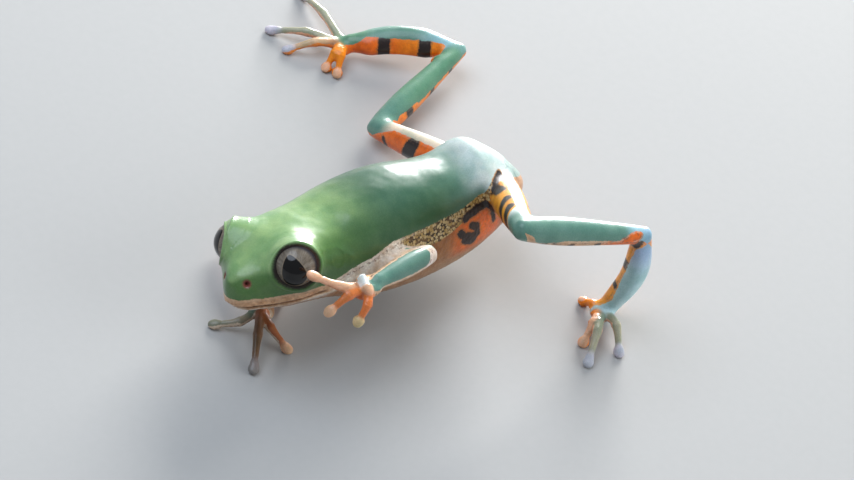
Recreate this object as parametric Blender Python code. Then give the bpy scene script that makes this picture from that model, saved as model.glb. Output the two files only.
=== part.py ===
"""A life-size still model of a tiger-legged monkey frog, striding with its left hand lifted.

The frog looks along -Y, its left side is at +X, and its toe pads rest on z = 0.
Lengths are in millimetres until the last step, which scales the model to metres.
"""

import math

import bmesh
import bpy
from mathutils import Matrix, Vector

MM = 0.001
SNOUT_VENT = 42.0
GAP = 0.3

# Bone lengths, as shares of the length from snout to vent.
THIGH = 0.412 * SNOUT_VENT
SHIN = 0.412 * SNOUT_VENT
TARSUS = 0.32 * SNOUT_VENT
UPPER_ARM = 0.22 * SNOUT_VENT
FOREARM = 0.22 * SNOUT_VENT

# How the trunk is held, and how the head turns on it, in degrees.
TRUNK_PITCH, TRUNK_ROLL = 2.5, 22.0
HEAD_YAW, HEAD_PITCH = 12.0, 4.5
VENT_HEIGHT = 8.6
NECK_BEND = (25.0, 33.0)
NECK_CUT = 28.7

# Joint sockets in the trunk: forward of the vent, to the side, and up.
HIP = (2.8, 3.1, 1.2)
SHOULDER = (26.5, 5.0, -2.4)

# Limb bones, as a heading from straight ahead towards the left and a rise above level.
LEG_BONES = {
    "left": ((THIGH, 58, 30.4), (SHIN, 168.8, -16.5), (TARSUS, -63, -83.7)),
    "right": ((THIGH, -83.5, -22), (SHIN, -158.5, 5), (TARSUS, -38, -8)),
}
ARM_BONES = {
    "left": ((UPPER_ARM, 160, 19), (FOREARM, 15, 11)),
    "right": ((UPPER_ARM, -54, -22), (FOREARM, 79, 0)),
}

# How far the middle of each tarsus bows out of line.
TARSUS_BOW = {"left": (0.75, 0.75, 0.0), "right": (-0.9, 0.7, 0.4)}

# Flesh along each bone: share of its length, half width.
THIGH_FLESH = ((0.0, 1.95), (0.3, 2.05), (0.6, 1.85), (1.0, 1.4))
SHIN_FLESH = ((0.0, 1.5), (0.3, 1.75), (0.7, 1.45), (1.0, 1.15))
TARSUS_FLESH = ((0.0, 1.2), (0.35, 1.6), (0.7, 1.5), (1.0, 1.25))
UPPER_ARM_FLESH = ((0.0, 1.6), (0.5, 1.45), (1.0, 1.3))
FOREARM_FLESH = ((0.0, 1.35), (0.35, 1.5), (0.75, 1.3), (1.0, 1.05))

# Digits: heading, rise (None where the pad is on the ground), reach from the palm,
# then how far the knuckle stands up and to the left.
FINGERS = {
    "left": (
        (-18.7, 21.6, 7.5, -0.11, 0.64),
        (5.7, -11.9, 5.51, 1.19, 0.27),
        (45.2, -30.9, 4.16, 1.08, 0.57),
        (52.8, 39.9, 1.5, 1.13, -0.97),
    ),
    "right": (
        (-10.5, None, 5.78, 0.24, 1.14),
        (53.5, None, 8.66, 0.84, -0.06),
        (91.6, None, 5.95, 0.84, -0.86),
        (-160.6, None, 3.73, 0.8, 0),
    ),
}
TOES = {
    "left": (
        (-79.4, None, 2.95, 0.4, 0),
        (25.6, None, 1.9, 0.6, 0),
        (30.5, None, 5.27, 1.0, 0),
        (43.5, None, 8.06, 1.4, 0.07),
        (76.0, None, 6.03, 1.4, 0.4),
    ),
    "right": (
        (48.2, None, 4.19, 1.0, 0),
        (25.2, None, 3.86, 1.0, 0),
        (-26.3, None, 7.06, 1.0, 0),
        (-48.1, None, 9.55, 1.0, 0),
        (-95.4, None, 11.23, 1.0, 0),
    ),
}
DIGIT_FLESH = ((0.0, 0.75), (0.3, 0.6), (0.52, 0.64), (0.75, 0.53), (1.0, 0.5))
PAD_LENGTH, PAD_WIDTH, PAD_DEPTH = 0.82, 0.76, 0.54
PAD_REST = 0.4

# The head's features, in the trunk's own measure: forward of the vent, to the side, up.
EYE = (35.5, 4.6, 1.95)
EYE_LOOK = (0.50, 0.79, 0.35)
EYE_RADIUS = 2.6
LID_RADIUS = 3.2
LID_BLEND = 1.3
LID_OPENING = 1.4
LID_WALL = 0.55
LID_EDGE = (0.15, 0.22)
BROW_SWEEP = (-0.9, -1.2, 0.0)
BROW_RADIUS = 2.9
NOSTRIL = (40.35, 1.6, 0.5)
NOSTRIL_LOOK = (0.55, 0.75, 0.3)
NOSTRIL_RADIUS, NOSTRIL_DEPTH = 0.36, 0.9
EARDRUM = (30.2, 1.4)
EARDRUM_RADIUS, EARDRUM_EDGE = 0.75, 0.16
MOUTH_HEIGHT = -2.5
MOUTH_CORNER = 31.5
MOUTH_DEPTH, MOUTH_SLIT = 0.5, 0.05
MOUTH_REACH, MOUTH_FLARE = 1.2, 0.45
LIP_SINK = 0.985
UPPER_LIP = (0.36, 0.3)
LOWER_LIP = (-0.31, 0.24)

# Palms and soles: forward, sideways and up from their middle.
PALM = (2.0, 1.5, 0.85)
SOLE = (1.5, 1.5, 0.9)
PALM_TOWARD = {"left": (5, -10), "right": (88, -12)}
SOLE_TOWARD = {"left": (12, -15), "right": (-16, -15)}
PALM_REACH = 0.7

# Skin colour and roughness of each kind of part.
SKINS = {
    "torso": ((0.10, 0.30, 0.07), 0.35),
    "head": ((0.14, 0.36, 0.06), 0.35),
    "eye": ((0.45, 0.40, 0.33), 0.08),
    "hand": ((0.65, 0.28, 0.12), 0.4),
    "foot": ((0.40, 0.33, 0.25), 0.4),
    "other": ((0.18, 0.38, 0.30), 0.35),
}

# Trunk and head sections: distance forward of the vent, half width, top, bottom, squareness.
SECTIONS = (
    (-2.2, 0.5, 0.5, -0.7, 2.0),
    (-1.6, 1.3, 1.5, -1.6, 2.0),
    (-0.4, 2.2, 2.8, -2.5, 2.0),
    (1.0, 3.2, 4.3, -3.8, 2.1),
    (3.5, 4.3, 6.3, -5.0, 2.2),
    (6.0, 5.0, 7.5, -6.1, 2.3),
    (9.0, 5.6, 6.35, -6.8, 2.3),
    (13.0, 6.2, 6.5, -7.4, 2.2),
    (18.0, 6.9, 7.1, -7.6, 2.2),
    (24.0, 7.1, 6.25, -6.8, 2.3),
    (28.5, 6.6, 5.2, -5.5, 2.3),
    (32.0, 6.3, 5.0, -4.8, 2.4),
    (35.0, 5.6, 4.25, -4.3, 2.5),
    (37.5, 4.4, 3.2, -3.75, 2.5),
    (39.5, 3.1, 2.25, -3.3, 2.4),
    (40.9, 1.85, 1.4, -2.75, 2.2),
    (41.6, 0.8, 0.5, -2.0, 2.0),
)

TIP_REACH = 3.0


def clamp(value):
    return min(1.0, max(0.0, value))


def eased(start, end, value):
    """0 before start, 1 after end, and smooth between."""
    t = clamp((value - start) / (end - start))
    return t * t * (3 - 2 * t)


def read_table(table, at):
    """A smooth reading of a table's other columns at a value of its first one."""
    last = len(table) - 2
    i = max(0, min(last, sum(row[0] <= at for row in table) - 1))
    before, here = table[max(0, i - 1)], table[i]
    there, after = table[i + 1], table[min(last + 1, i + 2)]
    span = there[0] - here[0]
    t = clamp((at - here[0]) / span)
    found = []
    for b, h, n, a in zip(before[1:], here[1:], there[1:], after[1:]):
        slope_in = (n - b) / (there[0] - before[0]) * span
        slope_out = (a - h) / (after[0] - here[0]) * span
        rise = t * t * (3 - 2 * t)
        leaving, arriving = t * (1 - t) ** 2, t * t * (t - 1)
        found.append(h + (n - h) * rise + slope_in * leaving + slope_out * arriving)
    return found


def direction(heading, rise):
    """Unit vector of a heading from straight ahead (-Y) towards the left (+X), and a rise."""
    h, r = math.radians(heading), math.radians(rise)
    return Vector((math.sin(h) * math.cos(r), -math.cos(h) * math.cos(r), math.sin(r)))


def axes(forward, up):
    """A rotation whose columns are forward, left and up."""
    forward = forward.normalized()
    left = up.cross(forward).normalized()
    return Matrix((forward, left, forward.cross(left))).transposed()


def spine_turn(along):
    """How the spine points at a distance forward of the vent, as forward, left and up."""
    share = eased(*NECK_BEND, along)
    forward = direction(HEAD_YAW * share, TRUNK_PITCH + HEAD_PITCH * share)
    level = axes(forward, Vector((0, 0, 1)))
    return level @ Matrix.Rotation(math.radians(TRUNK_ROLL), 3, "X")


def spine(along):
    """The spine's frame at a distance forward of the vent."""
    place = Vector((0, 0, VENT_HEIGHT))
    steps = 40
    for k in range(steps):
        place = place + spine_turn((k + 0.5) / steps * along).col[0] * (along / steps)
    return Matrix.Translation(place) @ spine_turn(along).to_4x4()


def in_trunk(place, side=1):
    """A point given as forward of the vent, to the side, and up."""
    return spine(place[0]) @ Vector((0, side * place[1], place[2]))


def skin_point(along, angle, grow=0.0):
    """A point of the trunk's skin in its section; angle 0 is the left and 90 degrees the back."""
    half_width, top, bottom, square = read_table(SECTIONS, along)
    middle, half_height = (top + bottom) / 2, (top - bottom) / 2 + grow
    c, s = math.cos(angle), math.sin(angle)
    across = (half_width + grow) * math.copysign(abs(c) ** (2 / square), c)
    return Vector((0, across, middle + half_height * math.copysign(abs(s) ** (2 / square), s)))


def half_width_at(along, height):
    """How far the trunk's skin is to the side at a height of one section."""
    half_width, top, bottom, square = read_table(SECTIONS, along)
    share = abs(height - (top + bottom) / 2) / ((top - bottom) / 2)
    return half_width * clamp(1 - share**square) ** (1 / square)


def add_object(name, bm):
    bmesh.ops.triangulate(bm, faces=bm.faces)
    bm.normal_update()
    bmesh.ops.recalc_face_normals(bm, faces=bm.faces)
    mesh = bpy.data.meshes.new(name)
    bm.to_mesh(mesh)
    bm.free()
    made = bpy.data.objects.new(name, mesh)
    bpy.context.scene.collection.objects.link(made)
    return made


def loft(name, rings, closed=False):
    """A closed mesh through rings of points, with its ends capped unless it closes on itself."""
    bm = bmesh.new()
    loops = [[bm.verts.new(point) for point in ring] for ring in rings]
    sides = len(rings[0])
    pairs = list(zip(loops, loops[1:]))
    if closed:
        pairs.append((loops[-1], loops[0]))
    for near, far in pairs:
        for i in range(sides):
            j = (i + 1) % sides
            bm.faces.new((near[i], near[j], far[j], far[i]))
    if not closed:
        for ring in (loops[0], loops[-1]):
            centre = bm.verts.new(sum((v.co for v in ring), Vector()) / sides)
            for i in range(sides):
                bm.faces.new((ring[i], ring[(i + 1) % sides], centre))
    return add_object(name, bm)


def crowded(distance):
    """Draws sections together as they come close to a rounded tip."""
    return distance if distance > TIP_REACH else TIP_REACH * (distance / TIP_REACH) ** 1.6


def trunk(name, low, high, rings, sides, grow=0.0):
    """The trunk between two distances forward of the vent, with closer rings at its tips."""
    rear, front = SECTIONS[0][0], SECTIONS[-1][0]
    made = []
    for i in range(rings + 1):
        along = low + (high - low) * i / rings
        along = rear + crowded(along - rear) if along - rear < TIP_REACH else front - crowded(front - along)
        frame = spine(along)
        made.append([frame @ skin_point(along, 2 * math.pi * k / sides, grow) for k in range(sides)])
    return loft(name, made)


def smooth_path(points, share):
    """A point of a smooth curve through a few points, at a share of its length."""
    lengths = [0.0]
    for a, b in zip(points, points[1:]):
        lengths.append(lengths[-1] + (b - a).length)
    table = [(length / lengths[-1], *point) for length, point in zip(lengths, points)]
    return Vector(read_table(table, share))


def limb(name, points, flesh, sides=12, steps=9, grow=0.0, thin=1.0):
    """A tapering, round-ended length of flesh along a smooth path; thin flattens it."""
    ends = 3
    stations = []
    first, last = flesh[0][1] + grow, flesh[-1][1] + grow
    for i in range(ends):
        turn = math.pi / 2 * (i + 0.6) / ends
        stations.append((0.0, -first * math.cos(turn), first * math.sin(turn)))
    for i in range(steps + 1):
        share = i / steps
        stations.append((share, 0.0, read_table(flesh, share)[0] + grow))
    for i in reversed(range(ends)):
        turn = math.pi / 2 * (i + 0.6) / ends
        stations.append((1.0, last * math.cos(turn), last * math.sin(turn)))
    up = Vector((0, 0, 1))
    rings = []
    for share, beyond, radius in stations:
        ahead = smooth_path(points, clamp(share + 0.02)) - smooth_path(points, clamp(share - 0.02))
        turned = axes(ahead, up)
        up = turned.col[2].copy()
        centre = smooth_path(points, share) + turned.col[0] * beyond
        ring = []
        for k in range(sides):
            a = 2 * math.pi * k / sides
            ring.append(centre + turned @ Vector((0, radius * math.cos(a), thin * radius * math.sin(a))))
        rings.append(ring)
    return loft(name, rings)


def rounded(name, frame, half_sizes, square=2.0, segments=20, rings=10):
    """An ellipsoid along the axes of a frame, made boxier by squareness above 2."""
    bm = bmesh.new()
    bmesh.ops.create_uvsphere(bm, u_segments=segments, v_segments=rings, radius=1)
    for vert in bm.verts:
        norm = sum(abs(c) ** square for c in vert.co) ** (1 / square)
        vert.co = frame @ Vector([c / norm * half for c, half in zip(vert.co, half_sizes)])
    return add_object(name, bm)


def hoop(name, frame, radius, thickness, around=24, sides=6):
    """A ring across a frame's forward axis; its thickness goes from its foot to its top."""
    rings = []
    for i in range(around):
        a = 2 * math.pi * i / around
        out = Vector((0, math.cos(a), math.sin(a)))
        thick = thickness[0] + (thickness[1] - thickness[0]) * (1 + math.sin(a)) / 2
        ring = []
        for k in range(sides):
            b = 2 * math.pi * k / sides
            ring.append(frame @ (out * (radius + thick * math.cos(b)) + Vector((thick * math.sin(b), 0, 0))))
        rings.append(ring)
    return loft(name, rings, closed=True)


def window(name, frame, radius, length, sides=24):
    """A straight round plug that starts at a frame and runs forward, to cut an opening."""
    rings = []
    for ahead in (0.0, length):
        turns = [2 * math.pi * k / sides for k in range(sides)]
        rings.append([frame @ Vector((ahead, radius * math.cos(a), radius * math.sin(a))) for a in turns])
    return loft(name, rings)


def slice_off(target, point, normal):
    """Cuts away what lies beyond a plane, and closes the cut."""
    bm = bmesh.new()
    bm.from_mesh(target.data)
    geometry = bm.verts[:] + bm.edges[:] + bm.faces[:]
    bmesh.ops.bisect_plane(bm, geom=geometry, plane_co=point, plane_no=normal, clear_outer=True)
    edges = [edge for edge in bm.edges if edge.is_boundary]
    if edges:
        bmesh.ops.edgenet_fill(bm, edges=edges)
    bmesh.ops.recalc_face_normals(bm, faces=bm.faces)
    bm.to_mesh(target.data)
    bm.free()


def combine(target, others, operation):
    """Joins other objects to the target, or cuts them from it, and removes them."""
    pieces = bpy.data.collections.new("pieces")
    bpy.context.scene.collection.children.link(pieces)
    for each in others:
        pieces.objects.link(each)
    change = target.modifiers.new(operation.lower(), "BOOLEAN")
    change.operand_type = "COLLECTION"
    change.collection = pieces
    change.operation = operation
    change.solver = "EXACT"
    evaluated = target.evaluated_get(bpy.context.evaluated_depsgraph_get())
    mesh = bpy.data.meshes.new_from_object(evaluated)
    target.modifiers.clear()
    target.data = mesh
    for each in others:
        bpy.data.objects.remove(each)
    bpy.data.collections.remove(pieces)
    keep_largest(target)


def keep_largest(target):
    """Keeps only the closed surface that holds the most."""
    bm = bmesh.new()
    bm.from_mesh(target.data)
    bmesh.ops.remove_doubles(bm, verts=bm.verts, dist=1e-5)
    left = set(bm.faces)
    shells = []
    while left:
        shell, stack = set(), [left.pop()]
        while stack:
            face = stack.pop()
            shell.add(face)
            for edge in face.edges:
                for near in edge.link_faces:
                    if near in left:
                        left.discard(near)
                        stack.append(near)
        shells.append(shell)
    biggest = max(shells, key=len)
    drop = [face for face in bm.faces if face not in biggest]
    bmesh.ops.delete(bm, geom=drop, context="FACES")
    bmesh.ops.triangulate(bm, faces=bm.faces)
    bm.to_mesh(target.data)
    bm.free()


def make_torso():
    return trunk("torso", SECTIONS[0][0], NECK_CUT - GAP / 2, 26, 28)


def eye_frame(side):
    """The eye's frame: its forward axis is where the eye looks."""
    turned = spine(EYE[0])
    look = turned.to_3x3() @ Vector((EYE_LOOK[0], side * EYE_LOOK[1], EYE_LOOK[2]))
    return Matrix.Translation(in_trunk(EYE, side)) @ axes(look, turned.col[2].to_3d()).to_4x4()


def gape(height):
    """The head's outline at a height, from the left mouth corner round the snout to the right."""
    tip = SECTIONS[-1][0]
    steps = 12
    side_points = []
    for i in range(steps + 1):
        along = MOUTH_CORNER + (tip - MOUTH_CORNER) * math.sin(math.pi / 2 * i / steps)
        side_points.append((along, half_width_at(along, height)))
    while side_points[-1][1] < 0.4:
        side_points.pop()
    return side_points + [(along, -wide) for along, wide in reversed(side_points)]


def mouth_blade():
    """A thin wedge along the gape."""
    outline = gape(MOUTH_HEIGHT)
    head = spine(MOUTH_CORNER)
    flat = [head.inverted() @ (spine(a) @ Vector((0, w, MOUTH_HEIGHT))) for a, w in outline]
    rings = []
    for i, point in enumerate(flat):
        before, after = flat[max(0, i - 1)], flat[min(len(flat) - 1, i + 1)]
        run = (after - before).normalized()
        out = Vector((run.y, -run.x, 0)).normalized()
        if out.dot(point - Vector((4, 0, 0))) < 0:
            out = -out
        rings.append([
            head @ (point - out * MOUTH_DEPTH + Vector((0, 0, MOUTH_SLIT))),
            head @ (point - out * MOUTH_DEPTH - Vector((0, 0, MOUTH_SLIT))),
            head @ (point + out * MOUTH_REACH - Vector((0, 0, MOUTH_FLARE))),
            head @ (point + out * MOUTH_REACH + Vector((0, 0, MOUTH_FLARE))),
        ])
    return loft("mouth", rings)


def lip(rise, thickness):
    """A soft roll above or below the gape, which thins out at the mouth's corners."""
    height = MOUTH_HEIGHT + rise
    points = [spine(along) @ Vector((0, wide * LIP_SINK, height)) for along, wide in gape(height)]
    flesh = ((0.0, 0.05), (0.12, thickness * 0.8), (0.5, thickness), (0.88, thickness * 0.8), (1.0, 0.05))
    return limb("lip", points, flesh, sides=6, steps=24)


def to_lid(place):
    """How far a point of the head is outside its lids, whose balls sweep back into the brows."""
    x, y, z = place[0] - EYE[0], abs(place[1]) - EYE[1], place[2] - EYE[2]
    reach = sum(c * c for c in BROW_SWEEP)
    share = clamp((x * BROW_SWEEP[0] + y * BROW_SWEEP[1] + z * BROW_SWEEP[2]) / reach)
    x, y, z = x - share * BROW_SWEEP[0], y - share * BROW_SWEEP[1], z - share * BROW_SWEEP[2]
    return math.sqrt(x * x + y * y + z * z) - LID_RADIUS - share * (BROW_RADIUS - LID_RADIUS)


def skull_point(along, angle):
    """A point of the head's skin, where the lids rise out of the skull in a smooth blend."""
    base = skin_point(along, angle)
    middle = sum(read_table(SECTIONS, along)[1:3]) / 2
    out = base - Vector((0, 0, middle))
    skull = out.length
    out.normalize()
    reach, step = skull + 5, 0.1
    outside = 1.0
    while reach > skull:
        gap_skull, gap_lid = reach - skull, to_lid((along, out.y * reach, middle + out.z * reach))
        blend = max(0.0, LID_BLEND - abs(gap_skull - gap_lid)) / LID_BLEND
        gap = min(gap_skull, gap_lid) - blend * blend * LID_BLEND / 4
        if gap <= 0:
            reach += step * gap / (gap - outside)
            break
        outside = gap
        reach -= step
    return Vector((0, out.y * max(reach, skull), middle + out.z * max(reach, skull)))


def relax(rings):
    """Evens out rings of points in place; the first ring stays."""
    before = [[point.copy() for point in ring] for ring in rings]
    for i in range(1, len(rings)):
        sides = len(rings[i])
        after = before[min(i + 1, len(rings) - 1)]
        for k in range(sides):
            near = before[i - 1][k] + after[k] + before[i][k - 1] + before[i][(k + 1) % sides]
            rings[i][k] = before[i][k].lerp(near / 4, 0.5)


def make_skull():
    low, high = NECK_CUT + GAP / 2, SECTIONS[-1][0]
    rings, sides = 31, 52
    made = []
    for i in range(rings + 1):
        along = high - crowded((high - low) * (1 - i / rings))
        frame = spine(along)
        made.append([frame @ skull_point(along, 2 * math.pi * k / sides) for k in range(sides)])
    for _ in range(3):
        relax(made)
    return loft("head", made)


def make_head():
    head = make_skull()
    windows, added, cut = [], [lip(*UPPER_LIP), lip(*LOWER_LIP)], [mouth_blade()]
    for side in (1, -1):
        frame = eye_frame(side)
        edge = math.sqrt((EYE_RADIUS + GAP) ** 2 - LID_OPENING**2)
        ahead = frame @ Matrix.Translation((LID_OPENING, 0, 0))
        windows.append(window("window", ahead, edge + LID_WALL, 2 * EYE_RADIUS))
        windows.append(rounded("socket", frame, [EYE_RADIUS + GAP] * 3, segments=24, rings=12))
        rim = frame @ Matrix.Translation((LID_OPENING - 0.03, 0, 0))
        added.append(hoop("lid", rim, edge + LID_EDGE[1], LID_EDGE, around=27))
        turned = spine(NOSTRIL[0]).to_3x3()
        out = turned @ Vector((NOSTRIL_LOOK[0], NOSTRIL_LOOK[1] * side, NOSTRIL_LOOK[2]))
        pit = Matrix.Translation(in_trunk(NOSTRIL, side)) @ axes(out, turned.col[2]).to_4x4()
        hole = (NOSTRIL_DEPTH, NOSTRIL_RADIUS * 1.2, NOSTRIL_RADIUS)
        cut.append(rounded("nostril", pit, hole, segments=10, rings=6))
        along, height = EARDRUM
        place = in_trunk((along, half_width_at(along, height), height), side)
        turned = spine(along).to_3x3()
        drum = Matrix.Translation(place) @ axes(turned.col[1] * side, turned.col[2]).to_4x4()
        added.append(hoop("eardrum", drum, EARDRUM_RADIUS, (EARDRUM_EDGE, EARDRUM_EDGE), around=14))
    combine(head, windows, "DIFFERENCE")
    combine(head, added, "UNION")
    combine(head, cut, "DIFFERENCE")
    return head


def bone_ends(start, bones):
    """Where each bone of a limb begins and ends."""
    ends = [start]
    for length, heading, rise in bones:
        ends.append(ends[-1] + direction(heading, rise) * length)
    return ends


def part_at_joint(before, after, ends, k):
    """Parts two lengths of a limb on the plane that halves their bend."""
    point = ends[k]
    into, out = (ends[k] - ends[k - 1]).normalized(), (ends[k + 1] - ends[k]).normalized()
    normal = (into + out).normalized()
    slice_off(before, point - normal * GAP / 2, normal)
    slice_off(after, point + normal * GAP / 2, -normal)


def bone_path(start, end, bow):
    """A bone's line, which bows out in its middle."""
    return [start, (start + end) / 2 + Vector(bow), end] if bow else [start, end]


def make_limb(side, start, bones, names, fleshes, bow=None):
    """A limb's lengths, with its root cut clear of the trunk; only the third may bow."""
    ends = bone_ends(start, bones)
    lengths = []
    for k, (name, flesh) in enumerate(zip(names, fleshes)):
        path = bone_path(ends[k], ends[k + 1], bow if k == 2 else None)
        lengths.append(limb(f"{side}_{name}", path, flesh))
    for k in range(1, len(lengths)):
        part_at_joint(lengths[k - 1], lengths[k], ends, k)
    whole = trunk("whole", SECTIONS[0][0], SECTIONS[-1][0], 48, 28, GAP)
    combine(lengths[0], [whole], "DIFFERENCE")
    return ends


def digit(palm, row):
    """One finger or toe with its pad: the pieces, still apart."""
    heading, rise, reach, lift, sway = row
    if rise is None:
        tip = palm + direction(heading, 0) * reach
        tip.z = PAD_REST
        run = direction(heading, 0)
    else:
        run = direction(heading, rise)
        tip = palm + run * reach
    _, left, up = axes(run, Vector((0, 0, 1))).col
    knuckle = palm.lerp(tip, 0.5) + up * lift + left * sway
    root = palm + (knuckle - palm).normalized() * 0.3
    flesh = limb("digit", [root, knuckle, tip], DIGIT_FLESH, sides=7, steps=6)
    last = (tip - knuckle).normalized()
    if rise is None:
        last = Vector((last.x, last.y, 0))
    pad = Matrix.Translation(tip) @ axes(last, up).to_4x4()
    return [flesh, rounded("pad", pad, (PAD_LENGTH, PAD_WIDTH, PAD_DEPTH), segments=10, rings=6)]


def make_extremity(name, base, toward, digits, palm_sizes, neighbour):
    """A hand or foot: palm, digits and pads joined, then cut clear of the limb that bears it."""
    palm_at = base + toward * palm_sizes[0] * PALM_REACH
    frame = Matrix.Translation(palm_at) @ axes(toward, Vector((0, 0, 1))).to_4x4()
    palm = rounded(name, frame, palm_sizes, 2.2, segments=16, rings=8)
    pieces = []
    for row in digits:
        pieces += digit(palm_at, row)
    combine(palm, pieces, "UNION")
    combine(palm, [limb("clear", *neighbour, grow=GAP)], "DIFFERENCE")
    slice_off(palm, Vector((0, 0, 0)), Vector((0, 0, -1)))
    return palm


def settle(nodes):
    """Centres the model over the origin and scales it from millimetres to metres."""
    points = [each.matrix_world @ vert.co for each in nodes for vert in each.data.vertices]
    middle = Vector([(min(p[i] for p in points) + max(p[i] for p in points)) / 2 for i in range(2)] + [0])
    for each in nodes:
        each.data.transform(Matrix.Scale(MM, 4) @ Matrix.Translation(-middle))


def finish(node):
    """Gives a node its own material, and shades it smooth."""
    part = node.name.split("_", 1)[-1]
    colour, roughness = SKINS.get(part, SKINS["other"])
    material = bpy.data.materials.new(node.name)
    material.use_nodes = True
    shader = material.node_tree.nodes["Principled BSDF"]
    shader.inputs["Base Color"].default_value = (*colour, 1)
    shader.inputs["Roughness"].default_value = roughness
    shader.inputs["Metallic"].default_value = 0
    node.data.materials.clear()
    node.data.materials.append(material)
    node.data.shade_smooth()
    node.data.set_sharp_from_angle(angle=math.radians(50))


def build():
    for old in list(bpy.data.objects):
        bpy.data.objects.remove(old)
    make_torso()
    make_head()
    for side, sign in (("left", 1), ("right", -1)):
        rounded(f"{side}_eye", eye_frame(sign), [EYE_RADIUS] * 3, segments=24, rings=12)
        leg = make_limb(
            side, in_trunk(HIP, sign), LEG_BONES[side],
            ("thigh", "shin", "tarsus"), (THIGH_FLESH, SHIN_FLESH, TARSUS_FLESH),
            TARSUS_BOW[side],
        )
        make_extremity(
            f"{side}_foot", leg[3], direction(*SOLE_TOWARD[side]), TOES[side], SOLE,
            (bone_path(leg[2], leg[3], TARSUS_BOW[side]), TARSUS_FLESH),
        )
        arm = make_limb(
            side, in_trunk(SHOULDER, sign), ARM_BONES[side],
            ("upper_arm", "forearm"), (UPPER_ARM_FLESH, FOREARM_FLESH),
        )
        make_extremity(
            f"{side}_hand", arm[2], direction(*PALM_TOWARD[side]), FINGERS[side], PALM,
            (arm[1:3], FOREARM_FLESH),
        )
    nodes = list(bpy.data.objects)
    settle(nodes)
    for each in nodes:
        finish(each)


build()
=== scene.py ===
# Tiger-legged monkey frog, striding with one hand lifted: skin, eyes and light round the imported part
import math

import bmesh
import bpy
import numpy as np
from mathutils import Matrix, Vector, noise
from mathutils.bvhtree import BVHTree
from mathutils.kdtree import KDTree


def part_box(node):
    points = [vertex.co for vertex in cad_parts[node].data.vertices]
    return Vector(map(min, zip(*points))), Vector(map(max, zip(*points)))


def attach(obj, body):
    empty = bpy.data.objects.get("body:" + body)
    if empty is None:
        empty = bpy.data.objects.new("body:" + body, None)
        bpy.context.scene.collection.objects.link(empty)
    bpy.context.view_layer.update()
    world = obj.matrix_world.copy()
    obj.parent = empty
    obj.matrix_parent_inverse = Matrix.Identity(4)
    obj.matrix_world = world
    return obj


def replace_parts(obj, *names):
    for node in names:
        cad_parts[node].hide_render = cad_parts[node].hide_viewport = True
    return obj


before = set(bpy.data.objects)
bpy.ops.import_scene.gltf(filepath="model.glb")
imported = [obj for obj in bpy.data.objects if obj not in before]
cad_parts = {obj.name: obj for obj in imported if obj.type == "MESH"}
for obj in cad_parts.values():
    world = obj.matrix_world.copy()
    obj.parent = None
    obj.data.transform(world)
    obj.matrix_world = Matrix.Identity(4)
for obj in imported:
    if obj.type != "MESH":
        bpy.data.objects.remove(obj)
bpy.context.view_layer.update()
mm = 0.001
print("frame:", len(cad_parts), "nodes")

# lengths below are in mm, measured in the body's own frame before the model was centred
body = {
    "ventHeight": 8.6, "pitch": 2.5, "roll": 22.0,
    "headYaw": 12.0, "headPitch": 4.5, "neckBend": (25.0, 33.0),
    "eye": (35.5, 4.6, 1.95), "eyeRadius": 2.6,
    # left 1 and right -1: the middle of the eye's opening, and how many degrees its lids close
    "eyeLook": {1: (0.56, 0.75, 0.35), -1: (0.68, 0.71, 0.17)}, "lidClose": {1: -1.0, -1: 9.0},
    "nostril": (40.35, 1.6, 0.5), "eardrum": (29.9, 6.1, 1.4),
    "mouthHeight": -2.5, "mouthCorner": 31.5, "vent": (0.9, 2.4, 2.6), "ends": (-2.4, 42),
    # forward of the vent, half width, top, bottom
    "sections": (
        (-2.2, 0.5, 0.5, -0.7), (-1.6, 1.3, 1.5, -1.6), (-0.4, 2.2, 2.8, -2.5), (1.0, 3.2, 4.3, -3.8),
        (3.5, 4.3, 6.3, -5.0), (6.0, 5.0, 7.5, -6.1), (9.0, 5.6, 6.35, -6.8), (13.0, 6.2, 6.5, -7.4),
        (18.0, 6.9, 7.1, -7.6), (24.0, 7.1, 6.25, -6.8), (28.5, 6.6, 5.2, -5.5), (32.0, 6.3, 5.0, -4.8),
        (35.0, 5.6, 4.25, -4.3), (37.5, 4.4, 3.2, -3.75), (39.5, 3.1, 2.25, -3.3), (40.9, 1.85, 1.4, -2.75),
        (41.6, 0.8, 0.5, -2.0),
    ),
}

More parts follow.
